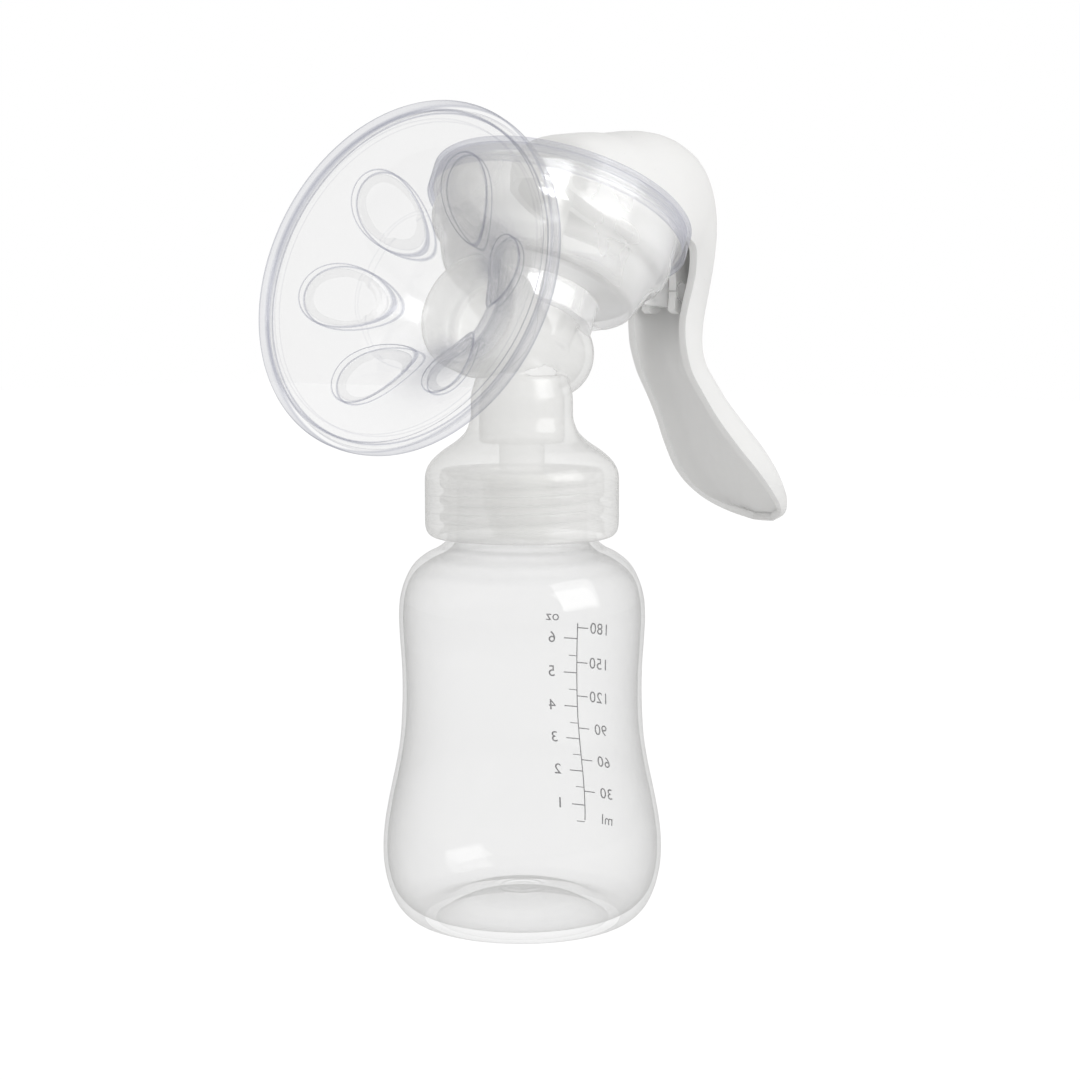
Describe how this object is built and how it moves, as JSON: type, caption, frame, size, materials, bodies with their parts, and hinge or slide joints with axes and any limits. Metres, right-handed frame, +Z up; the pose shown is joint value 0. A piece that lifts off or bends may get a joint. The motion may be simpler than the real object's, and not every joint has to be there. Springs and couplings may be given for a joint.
{
  "type": "manual breast pump",
  "caption": "Hand-squeezed pump on a screw-on feeding bottle: tilted petal-cushioned horn, diaphragm cup on top, and a white lever handle that curves down behind.",
  "frame": {"origin": "middle of the whole pump's box, on the surface that the bottle stands on", "axes": "+Z up, +Y towards the handle, -Y towards the horn, x = 0 is the plane of symmetry"},
  "size_m": [0.0782, 0.1679, 0.1856],
  "materials": {
    "clear_pp": "clear moulded polypropylene, glossy, slightly cool tint",
    "milky_pp": "translucent natural polypropylene, softly glossy",
    "clear_silicone": "clear silicone with lavender-grey edges, polished",
    "milky_silicone": "translucent silicone, satin",
    "white_pp": "white moulded plastic, satin",
    "white_gloss": "white moulded plastic, softly glossy"
  },
  "bodies": {
    "bottle": {"bottle": "clear_pp"},
    "collar_seal": {"bottle_gasket": "milky_silicone"},
    "pump_head": {"pump_body": "milky_pp", "duckbill_valve": "milky_silicone", "vacuum_cup": "milky_pp", "cup_seal": "milky_silicone", "diaphragm": "milky_silicone", "clamp_ring": "clear_pp"},
    "horn": {"horn": "clear_pp"},
    "cushion": {"massage_cushion": "clear_silicone"},
    "handle": {"handle": "white_gloss"},
    "rod": {"diaphragm_rod": "white_pp", "rod_retainer": "white_pp"}
  },
  "joints": [
    {"name": "collar_lift", "type": "slide", "parent": "bottle", "child": "collar_seal", "axis": [0, 0, 1], "range_m": [0, 0.00801]},
    {"name": "collar_turn", "type": "hinge", "parent": "collar_seal", "child": "pump_head", "pos_m": [0, -0.0285, 0.097], "axis": [0, 0, 1], "range_deg": [0, 720]},
    {"name": "handle_squeeze", "type": "hinge", "parent": "pump_head", "child": "handle", "pos_m": [0, 0.0315, 0.146], "axis": [-1, 0, 0], "range_deg": [0, 16], "stiffness_Nm_per_rad": 0.8, "springref_deg": -6.88},
    {"name": "rod_lift", "type": "slide", "parent": "pump_head", "child": "rod", "axis": [0, 0.4384, 0.8988], "range_m": [0, 0.0136], "deforming": ["diaphragm"]},
    {"name": "horn_pull", "type": "slide", "parent": "pump_head", "child": "horn", "axis": [0, -0.9511, 0.309], "range_m": [0, 0.012]},
    {"name": "cushion_pull", "type": "slide", "parent": "horn", "child": "cushion", "axis": [0, -0.9511, 0.309], "range_m": [0, 0.03]}
  ],
  "couplings": [
    {"joint": "collar_lift", "follows": "collar_turn", "m_per_rad": 0.00063662},
    {"joint": "rod_lift", "follows": "handle_squeeze", "m_per_rad": 0.0484}
  ]
}
